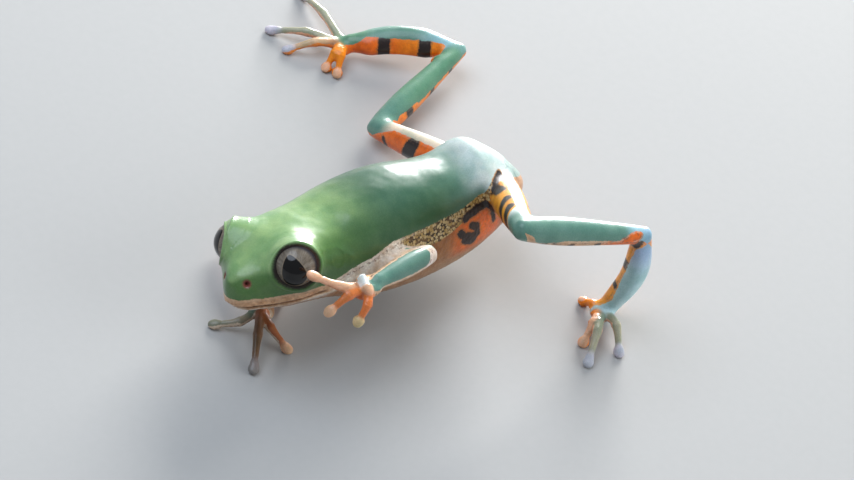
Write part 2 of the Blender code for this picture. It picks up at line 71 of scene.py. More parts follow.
tones = {  # linear red, green, blue
    "leaf": (0.092, 0.185, 0.055), "crown": (0.260, 0.400, 0.165), "deepLeaf": (0.056, 0.120, 0.056),
    "blueLeaf": (0.095, 0.195, 0.150), "rump": (0.150, 0.270, 0.225), "teal": (0.140, 0.270, 0.215),
    "dusk": (0.120, 0.230, 0.185), "fern": (0.120, 0.260, 0.165), "blueTeal": (0.290, 0.470, 0.560),
    # ice and lavender: painted light and a painted sheen on the left tarsus
    "paintedLightIce": (0.480, 0.680, 0.720), "paintedSheenLavender": (0.440, 0.520, 0.780),
    # the pale and white tones are pale skin in places and painted highlights in others: the pale hips, the
    # tiny pale points, the left thigh's upper stripe, the curled finger
    "paleAndGlare": (0.640, 0.690, 0.680), "cream": (0.640, 0.510, 0.390), "whiteAndGlare": (0.920, 0.860, 0.850),
    "chalk": (0.960, 0.920, 0.820), "tan": (0.680, 0.420, 0.250), "brown": (0.170, 0.085, 0.045),
    "belly": (0.340, 0.140, 0.045), "chest": (0.380, 0.200, 0.090), "orange": (0.900, 0.250, 0.010),
    "amber": (0.960, 0.390, 0.012), "groin": (0.820, 0.150, 0.006), "peach": (0.840, 0.440, 0.270),
    "palm": (0.720, 0.190, 0.050),
    "greyGreen": (0.400, 0.370, 0.260), "moss": (0.250, 0.220, 0.160), "slate": (0.240, 0.200, 0.190),
    "disc": (0.560, 0.510, 0.590), "yellowDisc": (0.700, 0.500, 0.260), "rust": (0.420, 0.130, 0.050),
    # nostril: painted shade of the nostril's opening
    "black": (0.018, 0.011, 0.010), "nostril": (0.220, 0.060, 0.045), "halo": (0.220, 0.110, 0.030),
    "dullGold": (0.38, 0.24, 0.07), "gold": (0.58, 0.44, 0.22),
    "darkWeb": (0.030, 0.018, 0.010), "brownWeb": (0.150, 0.080, 0.028),
}
farOff = 9.0  # mm, beyond all that is blended

# where the limbs bend and where their digits start
bends = {
    "leftKnee": (15.08, -10.61, 19.75), "leftHeel": (18.3, 5.67, 14.84), "leftElbow": (8.53, -18.18, 12.42),
    "rightKnee": (-19.26, -4.62, 2.19), "rightHeel": (-25.58, 11.42, 3.7),
    "rightElbow": (-10.65, -31.79, 2.21),
    "leftToe": (17.2, 4.01, 1.21), "rightToe": (-34.06, -0.04, 1.56),
    "leftFinger": (11.0, -28.31, 13.94), "rightFinger": (-0.21, -33.6, 1.91),
}
digitWidth = 0.62
# the digits' upper stripes, in rows as the limbs have
stripes = {
    "inner": ((0, 0, 40), (1, 0, 60)), "middle": ((0, 0, 50), (1, 0, 70)),
    "long": ((0, 0, 66), (0.7, 0, 62), (0.85, 0, 120)), "plain": ((0, 0, 50), (1, 0, 60)),
    "lifted": ((0, 0, 50), (0.8, 0, 70), (0.9, 0, 120)), "held": ((0, 0, 70), (1, 0, 100)),
    "low": ((0, 0, 60), (0.8, 0, 66), (0.9, 0, 120)), "first": ((0, 0, 60), (1, 0, 62)),
}
# every limb: places from root to tip, half width, rows of share along with middle and half width of its
# upper stripe in degrees round the bone, the stripe's tones from root to tip, the lower tone, or two and
# the shares between which they blend, and how strong the pale line under the stripe is
limbs = {
    # the left thigh's upper stripe laid white is a painted highlight standing in for the glare on its top
    "leftThigh": (((2.42, -2.7, 10.99), bends["leftKnee"]), 2.0,
        ((0, -10, 24), (0.76, -10, 24), (0.88, 30, 72), (1, 50, 152)),
        ("whiteAndGlare", "whiteAndGlare", "teal"), ("amber", "tan", 0.82, 0.92), 0.1),
    "leftShin": ((bends["leftKnee"], bends["leftHeel"]), 1.55,
        ((0, 42, 104), (0.12, 30, 90), (0.3, 16, 74), (1, 14, 69)),
        ("teal", "teal", "blueTeal"), ("tan", "groin", 0.55, 0.75), 0.6),
    # the left tarsus's stripe is laid paler and bluer than its skin: painted light and a painted lavender
    # sheen
    "leftTarsus": ((bends["leftHeel"], (16.99, 5.0, 1.48)), 1.4,
        ((0, -152, 54), (0.82, -154, 50), (1, -130, 90)),
        ("paintedSheenLavender", "paintedLightIce", "paintedLightIce"), "amber", 0.4),
    "rightThigh": (((-3.32, -2.8, 8.67), bends["rightKnee"]), 2.0,
        ((0, 5, 34), (0.76, 5, 34), (0.92, -12, 66), (1, -20, 84)),
        ("cream", "cream", "teal"), "groin", 0.2),
    "rightShin": ((bends["rightKnee"], bends["rightHeel"]), 1.55,
        ((0, 5, 80), (0.14, 5, 66), (0.86, 5, 72), (1, 5, 88)),
        ("teal", "fern", "fern"), "orange", 0.15),
    "rightTarsus": ((bends["rightHeel"], (-33.78, 0.94, 1.83)), 1.4,
        ((0, 30, 62), (0.15, 38, 50), (0.86, 38, 50), (0.98, 30, 90)),
        ("blueTeal", "teal", "fern"), ("orange", "groin", 0.4, 0.7), 0.05),
    "leftUpperArm": (((5.54, -26.39, 9.41), bends["leftElbow"]), 1.45,
        ((0, -70, 30), (1, -40, 20)), ("teal", "teal", "teal"), "cream", 0.6),
    "leftForearm": ((bends["leftElbow"], (10.88, -26.94, 14.18)), 1.35,
        ((0, -32, 30), (0.12, -32, 58), (1, -32, 58)),
        ("dusk", "dusk", "teal"), ("whiteAndGlare", "tan", 0.04, 0.3), 1.0),
    "rightUpperArm": (((-3.72, -26.76, 5.67), bends["rightElbow"]), 1.45,
        ((0, -10, 40), (1, -10, 50)), ("teal", "teal", "teal"), "tan", 0.6),
    "rightForearm": ((bends["rightElbow"], (-1.58, -33.55, 2.21)), 1.35,
        ((0, 0, 60), (1, 0, 60)), ("teal", "teal", "paleAndGlare"), "palm", 0.6),
}
bones = list(limbs)
orangeToe = ("inner", ("orange", "orange", "peach"), "orange", 0.0)
greenToe = ("long", ("teal", "greyGreen", "disc"), "peach", 0.9)
greyToe = ("long", ("greyGreen", "greyGreen", "disc"), "peach", 0.7)
# every digit of a foot or hand: its middle, tip and stripe, and then tones and line as above
digits = {
    "leftToe": (
        ((15.75, 3.74, 1.2), (14.3, 3.46, 0.4), *orangeToe),
        ((17.61, 3.15, 1.4), (18.02, 2.29, 0.4), *orangeToe),
        ((18.54, 1.74, 1.8), (19.88, -0.53, 0.4), "middle", ("orange", "peach", "peach"), "orange", 0.2),
        ((20.03, 1.13, 2.2), (22.75, -1.84, 0.4), *greenToe),
        ((20.22, 3.67, 2.2), (23.05, 2.55, 0.4), *greenToe),
    ),
    "rightToe": (
        ((-32.49, -1.44, 1.98), (-30.93, -2.83, 0.4), *orangeToe),
        ((-33.23, -1.79, 1.98), (-32.41, -3.53, 0.4), *orangeToe),
        ((-35.62, -3.2, 1.98), (-37.18, -6.37, 0.4), "middle", ("rust", "tan", "disc"), "orange", 0.3),
        ((-37.61, -3.23, 1.98), (-41.16, -6.42, 0.4), *greyToe),
        ((-39.65, 0.49, 1.98), (-45.24, 1.02, 0.4), *greyToe),
    ),
    "leftFinger": (
        ((10.48, -31.86, 15.21), (8.76, -34.92, 16.7), "plain", ("palm", "peach", "peach"), "peach", 0.3),
        ((11.56, -31.21, 14.53), (11.54, -33.68, 12.8), "lifted", ("orange", "palm", "peach"), "palm", 0.2),
        ((13.06, -29.55, 13.79), (13.53, -30.83, 11.8), "lifted",
         ("orange", "palm", "yellowDisc"), "palm", 0.2),
        # the curled finger laid white: partly pale skin, partly a painted highlight
        ((10.29, -28.99, 15.28), (11.92, -29.01, 14.9), "held", ("whiteAndGlare", "whiteAndGlare", "peach"), "peach", 0.0),
    ),
    "rightFinger": (
        ((0.38, -36.65, 1.4), (-1.27, -39.28, 0.4), "first", ("teal", "moss", "moss"), "cream", 0.9),
        ((3.23, -36.23, 2.0), (6.75, -38.75, 0.4), "low", ("rust", "brown", "slate"), "brown", 0.6),
        ((2.78, -34.38, 2.0), (5.73, -33.44, 0.4), "low", ("palm", "rust", "peach"), "cream", 0.9),
        ((-0.83, -31.84, 1.96), (-1.45, -30.08, 0.4), "plain", ("palm", "palm", "peach"), "palm", 0.2),
    ),
}
for root, rows in digits.items():
    for k, (middle, tip, stripe, *paint) in enumerate(rows, 1):
        limbs[f"{root}{k}"] = ((bends[root], middle, tip), digitWidth, stripes[stripe], *paint)

# dark bars: where they run (share along, degrees round) and half width in mm
bars = {
    "leftThigh": (((0.25, 58), (0.35, 42), 0.75), ((0.08, 28), (0.20, 52), 0.45),
        ((0.55, 32), (0.66, 112), 0.60), ((0.71, 36), (0.84, 118), 0.60), ((0.88, 66), (0.94, 110), 0.40),
        ((0.15, 120), (0.40, 150), 0.45), ((0.35, -62), (0.42, -150), 0.45),
        ((0.62, -60), (0.60, -160), 0.45), ((0.85, -70), (0.86, -150), 0.40)),
    "leftShin": (((0.97, 50), (0.95, 150), 0.40), ((0.70, 88), (0.80, 58), 0.22),
        ((0.60, 116), (0.62, 215), 0.40), ((0.38, 118), (0.36, 215), 0.40), ((0.16, 122), (0.16, 210), 0.40),
        ((0.03, 122), (0.05, 132), 0.20), ((0.10, 114), (0.12, 124), 0.20), ((0.22, 104), (0.24, 112), 0.18)),
    "leftTarsus": (((0.05, -90), (0.05, 40), 0.62), ((0.36, -88), (0.38, 30), 0.70),
        ((0.66, -84), (0.68, 20), 0.35)),
    "rightThigh": (((0.52, -48), (0.60, -150), 1.05), ((0.16, -45), (0.20, -150), 0.60),
        ((0.84, -80), (0.82, -150), 0.35), ((0.40, 70), (0.42, 160), 0.55), ((0.70, 70), (0.68, 160), 0.55)),
    "rightShin": (((0.05, 84), (0.05, 160), 0.45), ((0.26, 62), (0.28, 170), 0.60),
        ((0.55, 80), (0.55, 180), 0.45), ((0.80, 84), (0.80, 180), 0.45)),
    "rightTarsus": (((0.31, -10), (0.31, -150), 0.75), ((0.69, -10), (0.69, -150), 0.72),
        ((0.02, -35), (0.02, -140), 0.35)),
    "leftForearm": (((0.25, 46), (0.30, 130), 0.22), ((0.60, 46), (0.62, 130), 0.22)),
}
# breaks in the green, given like the bars
greenGaps = {"leftShin": (((0.82, 90), (0.91, 58), 0.90),), "rightShin": (((0.16, 72), (0.34, 80), 0.50),)}


def eased(start, end, value):
    t = np.clip((value - start) / (end - start), 0, 1)
    return t * t * (3 - 2 * t)


def awayFrom(place, key):
    return np.linalg.norm(place - np.array(body[key]), axis=1)


def unit(v):
    v = np.asarray(v, float)
    return v / np.linalg.norm(v, axis=-1, keepdims=True)


def swing(turn, about):  # degrees from one angle to another, from -180 to 180
    return (turn - about + 180) % 360 - 180


def direction(heading, rise):
    h, r = math.radians(heading), math.radians(rise)
    return np.array((math.sin(h) * math.cos(r), -math.cos(h) * math.cos(r), math.sin(r)))


def spineTurn(along):  # rows: forward, left, up
    share = float(eased(*body["neckBend"], along))
    forward = direction(body["headYaw"] * share, body["pitch"] + body["headPitch"] * share)
    left = unit(np.cross((0, 0, 1), forward))
    up = np.cross(forward, left)
    c, s = math.cos(math.radians(body["roll"])), math.sin(math.radians(body["roll"]))
    return np.array((forward, c * left + s * up, c * up - s * left))


spineStep = 0.1
spineReach = (-80, 481)  # steps from the vent, which is at 0
spineAlong = np.arange(*spineReach) * spineStep
spineTurns = np.array([spineTurn(a) for a in spineAlong])
spinePlaces = np.zeros((len(spineAlong), 3))
for k in range(1, len(spineAlong)):
    spinePlaces[k] = spinePlaces[k - 1] + spineTurn(spineAlong[k] - spineStep / 2)[0] * spineStep
spinePlaces += np.array((0, 0, body["ventHeight"])) - spinePlaces[-spineReach[0]]


def turnAt(along):
    return spineTurns[int(round((along - spineAlong[0]) / spineStep))]


def bodyPoint(place, side=1):
    k = (place[0] - spineAlong[0]) / spineStep
    i = min(len(spineAlong) - 2, int(k))
    origin = spinePlaces[i] + (k - i) * (spinePlaces[i + 1] - spinePlaces[i])
    turn = turnAt(place[0])
    return origin + side * place[1] * turn[1] + place[2] * turn[2]


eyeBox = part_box("left_eye")
eyeMiddle = (np.array(eyeBox[0]) + np.array(eyeBox[1])) / 2 / mm
shift = eyeMiddle - bodyPoint(body["eye"])  # how far centring moved the model
shift[2] = 0


def toBody(points):  # centred mm to forward, left and up along the spine
    p = points - shift
    along = -p[:, 1]
    for _ in range(8):
        k = np.clip((along - spineAlong[0]) / spineStep, 0, len(spineAlong) - 1.001)
        i = k.astype(int)
        t = (k - i)[:, None]
        origin = spinePlaces[i] * (1 - t) + spinePlaces[i + 1] * t
        turn = spineTurns[i]
        along = along + np.einsum("ij,ij->i", p - origin, turn[:, 0])
    off = p - origin
    side, up = (np.einsum("ij,ij->i", off, turn[:, k]) for k in (1, 2))
    return np.stack((along, side, up), 1)


# camera at the photograph's viewpoint
cameraSet = {"azimuth": 46.022, "elevation": 45.002, "roll": 14.156, "distance": 400.0,
             "aim": (17.618, -27.410, 27.789), "lens": 153.44, "sensor": 36, "clip": (0.01, 10)}


def addObject(name, data):
    made = bpy.data.objects.new(name, data)
    bpy.context.scene.collection.objects.link(made)
    return made


def makeCamera():
    az, el, ro = (math.radians(cameraSet[k]) for k in ("azimuth", "elevation", "roll"))
    back = np.array((math.sin(az) * math.cos(el), -math.cos(az) * math.cos(el), math.sin(el)))
    right = np.array((math.cos(az), math.sin(az), 0.0))
    up = np.cross(back, right)
    turned = (math.cos(ro) * right + math.sin(ro) * up, -math.sin(ro) * right + math.cos(ro) * up, back)
    place = (np.array(cameraSet["aim"]) + shift + back * cameraSet["distance"]) * mm
    data = bpy.data.cameras.new("camera")
    data.sensor_width = cameraSet["sensor"]
    data.lens = cameraSet["lens"]
    data.clip_start, data.clip_end = cameraSet["clip"]
    camera = addObject("camera", data)
    camera.matrix_world = Matrix.Translation(Vector(place)) @ Matrix(np.array(turned).T.tolist()).to_4x4()
    bpy.context.scene.camera = camera
    return turned


view = makeCamera()
print("camera set")

# one skin over all the flesh, grown from the CAD solids
skinSet = {"voxel": 0.11, "plugReach": 0.5, "webReach": 1.1, "plugSink": 0.35, "socketFill": 2.84,
           "refill": 0.05, "digitRefill": 0.01}
flesh = [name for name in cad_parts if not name.endswith("_eye")]
pairs = [("torso", "head")]
for sideName in ("left", "right"):
    pairs += [(f"{sideName}_{a}", b if b == "torso" else f"{sideName}_{b}") for a, b in (
        ("thigh", "torso"), ("shin", "thigh"), ("tarsus", "shin"), ("foot", "tarsus"),
        ("upper_arm", "torso"), ("forearm", "upper_arm"), ("hand", "forearm"))]


def nodeMesh(name):  # a node's mesh in mm, its split corners rejoined
    bm = bmesh.new()
    bm.from_mesh(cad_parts[name].data)
    bmesh.ops.scale(bm, vec=(1 / mm,) * 3, verts=bm.verts)
    bmesh.ops.remove_doubles(bm, verts=bm.verts, dist=1e-3)
    return bm


def meshFrom(bm, name):
    mesh = bpy.data.meshes.new(name)
    bm.to_mesh(mesh)
    bm.free()
    return mesh


def makePlugs(solids, trees):  # hulls that fill the gaps between neighbours
    plugs = []
    for pair in pairs:
        spots = []
        for near, far in (pair, pair[::-1]):
            for vert in solids[near].verts:
                spot, _, _, gap = trees[far].find_nearest(vert.co)
                if gap < skinSet["webReach" if "thigh" in pair[0] else "plugReach"]:
                    spots.append(vert.co.copy())
                    spots.append(spot - (vert.co - spot).normalized() * skinSet["plugSink"])
        bm = bmesh.new()
        for spot in spots:
            bm.verts.new(spot)
        hull = bmesh.ops.convex_hull(bm, input=bm.verts)
        spare = [g for g in hull["geom_interior"] + hull["geom_unused"] if isinstance(g, bmesh.types.BMVert)]
        bmesh.ops.delete(bm, geom=list(set(spare)), context="VERTS")
        plugs.append((bm, spots))
    return plugs


def evenOut(co, edges, strength, rounds):  # smooths points over a mesh, each by its own strength
    n = len(co)
    a, b = edges[:, 0], edges[:, 1]
    count = np.bincount(a, minlength=n) + np.bincount(b, minlength=n)
    share = (strength / np.maximum(count, 1))[:, None]
    for _ in range(rounds):
        total = np.empty_like(co)
        for c in range(co.shape[1]):
            total[:, c] = np.bincount(a, co[b, c], n) + np.bincount(b, co[a, c], n)
        co = co + share * (total - co * count[:, None])
    return co


def meshArrays(mesh):
    co = np.empty(len(mesh.vertices) * 3)
    mesh.vertices.foreach_get("co", co)
    edges = np.empty(len(mesh.edges) * 2, int)
    mesh.edges.foreach_get("vertices", edges)
    return co.reshape(-1, 3), edges.reshape(-1, 2)


def normalsOf(mesh):
    normals = np.empty(len(mesh.vertices) * 3)
    mesh.vertices.foreach_get("normal", normals)
    return normals.reshape(-1, 3)


def setPlaces(mesh, co):
    mesh.vertices.foreach_set("co", np.ascontiguousarray(co).ravel())
    mesh.update()


def storeValues(mesh, key, values, kind="FLOAT", slot="value"):
    mesh.attributes.new(key, kind, "POINT").data.foreach_set(slot, values.astype(np.float32).ravel())


def fromBody(place, side=1):  # body mm to centred mm
    return bodyPoint(place, side) + shift


def bodyDirection(place, way, side=1):
    turn = turnAt(place[0])
    return unit(way[0] * turn[0] + side * way[1] * turn[1] + way[2] * turn[2])


def growSkin():
    solids = {name: nodeMesh(name) for name in flesh}
    trees = {name: BVHTree.FromBMesh(bm) for name, bm in solids.items()}
    plugs = makePlugs(solids, trees)
    fills = []
    for side in (1, -1):  # solid sockets, carved to lids further down
        bm = bmesh.new()
        bmesh.ops.create_icosphere(bm, subdivisions=5, radius=skinSet["socketFill"],
                                   matrix=Matrix.Translation(Vector(fromBody(body["eye"], side))))
        fills.append(bm)
    whole = bmesh.new()
    for bm in list(solids.values()) + [plug for plug, _ in plugs] + fills:
        piece = meshFrom(bm, "piece")
        whole.from_mesh(piece)
        bpy.data.meshes.remove(piece)
    bmesh.ops.recalc_face_normals(whole, faces=whole.faces)
    skin = addObject("skin", meshFrom(whole, "skin"))
    remesh = skin.modifiers.new("remesh", "REMESH")
    remesh.mode = "VOXEL"
    remesh.voxel_size = skinSet["voxel"]
    skin.data = bpy.data.meshes.new_from_object(skin.evaluated_get(bpy.context.evaluated_depsgraph_get()))
    skin.modifiers.clear()
    seams = KDTree(sum(len(spots) for _, spots in plugs))
    for k, spot in enumerate(spot for _, spots in plugs for spot in spots):
        seams.insert(spot, k)
    seams.balance()
    return skin, seams


skin, seams = growSkin()
print("skin grown:", len(skin.data.vertices), "points")


def trunkReading(p):  # along, side, up and how far out of the trunk, 1 at its surface
    f, l, u = toBody(p).T
    table = np.array(body["sections"])
    wide, top, bottom = (np.interp(f, table[:, 0], table[:, k]) for k in (1, 2, 3))
    out = np.sqrt((l / wide) ** 2 + ((u - (top + bottom) / 2) / ((top - bottom) / 2)) ** 2)
    return f, l, u, np.where((f > body["ends"][0]) & (f < body["ends"][1]), out, farOff)


def limbReading(p, joints):  # share along, distance and degrees round the nearest run of a limb
    joints = np.array(joints) + shift
    lengths = np.linalg.norm(np.diff(joints, axis=0), axis=1)
    before = np.concatenate(((0,), np.cumsum(lengths)))
    best = np.full(len(p), np.inf)
    share, turn = np.zeros(len(p)), np.zeros(len(p))
    for k, length in enumerate(lengths):
        run = (joints[k + 1] - joints[k]) / length
        along = (p - joints[k]) @ run
        off = p - joints[k] - np.clip(along, 0, length)[:, None] * run
        dist = np.linalg.norm(off, axis=1)
        upward = unit(np.array((0, 0, 1)) - run[2] * run)
        angle = np.degrees(np.arctan2(off @ np.cross(run, upward), off @ upward))
        near = dist < best
        share = np.where(near, (before[k] + along) / before[-1], share)
        turn = np.where(near, angle, turn)
        best = np.minimum(best, dist)
    return share, best, turn


# how strongly each region is evened out, up to 0.5, and the ranges in mm over which that fades
smoothing = {
    "rounds": 230, "blendRounds": 12, "trunk": 0.14, "rear": 0.36, "rearStart": (5, 12), "digit": 0.06,
    "bone": 0.3, "boneShare": (-0.02, 1.0), "boneReach": 0.5, "head": 0.42, "headStart": 29,
    "lip": (0.08, 0.2), "lipReach": (0.5, 1.2), "lipStart": 1, "tip": 0.25, "tipStart": 38.5,
    "eardrum": 0.5, "eardrumReach": 2.0, "joint": 0.5, "jointReach": (0.4, 1.6), "frontJoint": 0.25,
    "jointLeast": 0.2, "lid": (0.20, 0.22), "lidReach": (2.9, 3.2), "lidEnd": 4.0,
}
# how far out from the trunk's middle a point still belongs to it, where its surface is 1
trunkReach = {"smoothing": 1.12, "mouth": 1.2, "forms": 1.25, "vent": 2}


def smoothSkin():
    mesh = skin.data
    co, edges = meshArrays(mesh)
    f, _, u, out = trunkReading(co)
    inTrunk = out < trunkReach["smoothing"]
    rear = eased(*smoothing["rearStart"], f)
    strength = np.where(inTrunk, smoothing["trunk"] + smoothing["rear"] * rear, smoothing["digit"])
    digitShare = np.where(inTrunk, 0.0, 1.0)
    low, high = smoothing["boneShare"]
    for name in bones:
        joints, wide = limbs[name][:2]
        share, dist, _ = limbReading(co, joints)
        on = (share > low) & (share < high) & (dist < wide + smoothing["boneReach"]) & ~inTrunk
        strength[on] = smoothing["bone"]
        digitShare[on] = 0
    head = inTrunk & (f > smoothing["headStart"])
    strength[head] = smoothing["head"]
    mouth = np.abs(u - body["mouthHeight"])
    (least, more), lipReach = smoothing["lip"], smoothing["lipReach"]
    lip = head & (f > body["mouthCorner"] - smoothing["lipStart"]) & (mouth < lipReach[1])
    strength[lip] = np.minimum(strength[lip], least + more * eased(*lipReach, mouth[lip]))
    tip = head & (f > smoothing["tipStart"])
    strength[tip] = np.minimum(strength[tip], smoothing["tip"])
    drum = np.hypot(f - body["eardrum"][0], u - body["eardrum"][2]) < smoothing["eardrumReach"]
    strength[inTrunk & drum] = smoothing["eardrum"]
    near = np.array([seams.find(point)[2] for point in co])
    joint = 1 - eased(*smoothing["jointReach"], near)
    front = smoothing["frontJoint"]
    joint *= np.where(inTrunk, front + (1 - front) * rear, 1)
    joined = inTrunk | (strength > smoothing["jointLeast"])
    strength = np.maximum(strength, smoothing["joint"] * joint * joined)
    for side in (1, -1):
        away = np.linalg.norm(co - fromBody(body["eye"], side), axis=1)
        least, more = smoothing["lid"]
        lid = least + more * eased(*smoothing["lidReach"], away)
        strength = np.where(away < smoothing["lidEnd"], np.minimum(strength, lid), strength)
    both = np.stack((strength, digitShare), 1)
    both = evenOut(both, edges, np.full(len(co), 0.5), smoothing["blendRounds"])
    co = evenOut(co, edges, both[:, 0], smoothing["rounds"])
    setPlaces(mesh, co)
    refill = skinSet["refill"] + (skinSet["digitRefill"] - skinSet["refill"]) * both[:, 1]
    setPlaces(mesh, co + normalsOf(mesh) * refill[:, None])


smoothSkin()
print("skin smoothed")

# fine forms, all in mm but for the lids' angles in degrees from the middle of the eye's opening
lidForm = {"floor": 2.3, "least": 2.78, "edge": (60.5, 65.0), "hood": 8.0, "hoodWay": (-0.1, 0.0, 1.0),
           "bead": (66.5, 2.0, 0.05), "crease": (73.5, 2.5, -0.05), "reach": 4.2, "lastAngle": 84,
           "soften": (66, 5), "softening": (0.25, 4), "rim": (63.6, 65.4), "rimReach": 3.6,
           "greenReach": 3.9, "greenAngle": 80}
# the mouth's dark line, by half width and strength, is painted shade along the slit
mouthForm = {"slit": (0.12, -0.15), "lips": (0.40, 0.17, 0.05), "corner": 0.6,
             "line": (0.13, 0.75), "lineStart": (0.3, 0.5)}
nostrilForm = {"pit": (0.32, -0.06), "rim": (0.58, 0.18, 0.04)}
drumForm = {"radius": 1.25, "rim": (0.20, 0.028), "sink": -0.02, "flat": 0.7, "least": 4}
grainForm = {"size": 0.42, "height": 0.055, "dome": (0.5, 1.6), "under": (-0.5, 0.35), "near": (1.35, 1.1),
             "start": (4.0, 8.0), "swells": ((3.2, 0.10), (1.1, 0.025))}
ventForm = {"size": 0.55, "height": 0.12, "dome": (0.45, 1.3), "reach": (1.6, 3.0)}
folds = (  # ridge over the eardrum down to the arm: height, half width, then forward, side, up
    (0.07, 0.36, ((32.2, 5.9, 2.9), (30.4, 6.2, 2.9), (28.6, 6.5, 2.2), (27.2, 6.7, 1.0), (26.6, 6.8, -0.4))),
)
# rings round a digit: share along, half width, rise; they start and end at these shares, and at this distance
digitForm = {"disc": (0.93, 0.07, 0.10), "groove": (0.84, 0.03, -0.05), "shaft": (0.70, 0.12, -0.05),
             "knuckle": (0.50, 0.05, 0.05)}
digitReach = (0.35, 1.2, 1.1)
# flesh fuller than its bone: all round, more about one angle, that angle and its half width in degrees
calves = {"rightTarsus": (0.16, 0.75, -80, 60)}
calfFades = {"root": (0.12, 0.32), "tip": (1.0, 0.8), "reach": (2.9, 2.3)}


def bell(x, middle, width):
    return np.exp(-((x - middle) / width) ** 2)


def pathDistance(points, path):  # shortest distance to a run of straight pieces
    path = np.array(path, float)
    best = np.full(len(points), np.inf)
    for a, b in zip(path[:-1], path[1:]):
        share = np.clip((points - a) @ (b - a) / max((b - a) @ (b - a), 1e-9), 0, 1)
        best = np.minimum(best, np.linalg.norm(points - a - share[:, None] * (b - a), axis=1))
    return best


def lidReading(points, side):  # from the eye's middle, and the angle, which grows under the hooded upper lid
    middle = fromBody(body["eye"], side)
    look = bodyDirection(body["eye"], body["eyeLook"][side], side)
    upward = bodyDirection(body["eye"], lidForm["hoodWay"], side)
    upward = unit(upward - (upward @ look) * look)
    off = points - middle
    reach = np.linalg.norm(off, axis=1)
    lift = np.clip(off @ upward / reach, 0, 1)
    angle = np.degrees(np.arccos(np.clip(off @ look / reach, -1, 1)))
    return middle, off, reach, angle + lidForm["hood"] * lift ** 2 + body["lidClose"][side]


def carveLids(co, edges):
    near = np.zeros(len(co))
    for side in (1, -1):
        middle, off, reach, angle = lidReading(co, side)
        rise = eased(*lidForm["edge"], angle)
        goal = lidForm["floor"] + (np.maximum(reach, lidForm["least"]) - lidForm["floor"]) * rise
        for at, width, height in (lidForm["bead"], lidForm["crease"]):
            goal = goal + height * bell(angle, at, width)
        on = (reach < lidForm["reach"]) & (angle < lidForm["lastAngle"])
        co[on] = middle + off[on] / reach[on, None] * goal[on, None]
        near = np.maximum(near, on * bell(angle, *lidForm["soften"]))
    strength, rounds = lidForm["softening"]
    return evenOut(co, edges, strength * near, rounds)


def grainWeight(f, out, green):  # granular skin lies below the green, from the hips forward
    below = 1 - eased(*grainForm["under"], green)
    return below * eased(*grainForm["near"], out) * eased(*grainForm["start"], f)


def addGrains(height, co, weight, form):
    top, steep = form["dome"]
    for k in np.nonzero(weight > 0.02)[0]:
        cell = noise.voronoi(Vector(co[k]) / form["size"])[0][0]
        height[k] += weight[k] * form["height"] * (top - min(1.0, steep * cell))


def shapeSkin():
    mesh = skin.data
    co, edges = meshArrays(mesh)
    co = carveLids(co, edges)
    setPlaces(mesh, co)
    normals = normalsOf(mesh)
    f, l, u, out = trunkReading(co)
    place = np.stack((f, np.abs(l), u), 1)
    onTrunk = out < trunkReach["forms"]
    height = np.zeros(len(co))
    corner, fade = body["mouthCorner"], mouthForm["corner"]
    mouthOn = eased(corner - fade, corner + fade, f) * onTrunk
    above = np.abs(u - body["mouthHeight"])
    (slit, depth), (lipAt, lipWide, lipHeight) = mouthForm["slit"], mouthForm["lips"]
    height += mouthOn * (depth * bell(above, 0, slit) + lipHeight * bell(above, lipAt, lipWide))
    away = awayFrom(place, "nostril")
    (pit, depth), (rimAt, rimWide, rimHeight) = nostrilForm["pit"], nostrilForm["rim"]
    height += (depth * bell(away, 0, pit) + rimHeight * bell(away, rimAt, rimWide)) * onTrunk
    drum, radius = np.array(body["eardrum"]), drumForm["radius"]
    away = np.hypot(f - drum[0], u - drum[2]) + farOff * (~onTrunk | (np.abs(l) < drumForm["least"]))
    height += drumForm["rim"][1] * bell(away, radius, drumForm["rim"][0])
    height += drumForm["sink"] * (1 - eased(radius * drumForm["flat"], radius, away))
    for rise, wide, path in folds:
        height += rise * bell(pathDistance(place, path), 0, wide) * onTrunk
    low, high, digitEnd = digitReach
    for name in limbs:
        if name in bones:
            continue
        share, dist, _ = limbReading(co, limbs[name][0])
        on = (share > low) & (share < high) & (dist < digitEnd)
        for at, wide, rise in digitForm.values():
            height[on] += rise * bell(share[on], at, wide)
    for name, (rise, more, about, spread) in calves.items():
        share, dist, turn = limbReading(co, limbs[name][0])
        on = eased(*calfFades["root"], share) * eased(*calfFades["tip"], share)
        on *= eased(*calfFades["reach"], dist)
        height += on * (rise + more * bell(swing(turn, about), 0, spread))
    for size, rise in grainForm["swells"]:
        height += rise * onTrunk * np.array([noise.noise(Vector(p) / size) for p in co.tolist()])
    green = u - np.interp(f, *greenBorder)
    addGrains(height, co, grainWeight(f, out, green), grainForm)
    ventAway = awayFrom(place, "vent")
    ventOn = (1 - eased(*ventForm["reach"], ventAway)) * (out < trunkReach["vent"])
    addGrains(height, co, ventOn, ventForm)
    co = co + normals * height[:, None]
    co[:, 2] = np.maximum(co[:, 2], 0)
    setPlaces(mesh, co)
    return co


# where the green ends on the flank: forward, up
greenBorder = ((-2.2, -1.0, 0.5, 2.0, 4.0, 6.3, 8.0, 10.2, 12.6, 14.7, 16.6, 18.6, 20.5,
                21.5, 22.8, 24.1, 25.9, 27.9, 30.0, 32.3, 34.8, 36.8, 38.7, 40.3, 41.6),
               (0.9, 1.2, 1.9, 2.4, 2.8, 2.81, 2.69, 2.0, 1.74, 1.69, 1.66, 1.62, 1.60,
                1.5, 1.05, 0.45, 0.05, -0.48, -1.1, -1.54, -1.06, -0.96, -1.27, -1.25, -1.38))
skinPlaces = shapeSkin()
print("fine forms shaped")

